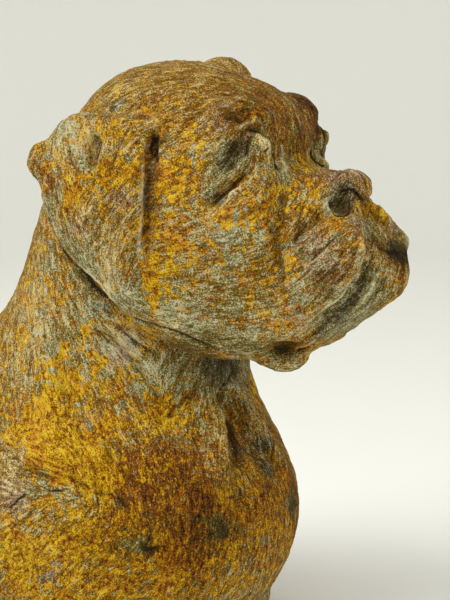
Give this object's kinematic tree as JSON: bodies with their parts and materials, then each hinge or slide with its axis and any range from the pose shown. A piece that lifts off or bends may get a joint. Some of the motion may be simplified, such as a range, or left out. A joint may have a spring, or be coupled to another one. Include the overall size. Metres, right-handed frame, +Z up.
{
  "type": "dog bust statue",
  "caption": "Cast iron bust of a mastiff or boxer type dog, head turned a little to its left, with weathered rusty patina, cut flat below the chest.",
  "frame": {"origin": "centre of the bounding box at the flat underside", "axes": "+X is the way the chest faces, +Y is the dog's left, +Z is up"},
  "size_m": [0.353, 0.2086, 0.3446],
  "materials": {
    "weathered_iron": "weathered cast iron with ochre, brown and grey-green patina"
  },
  "bodies": {
    "root": {"dog_bust": "weathered_iron"}
  },
  "joints": []
}
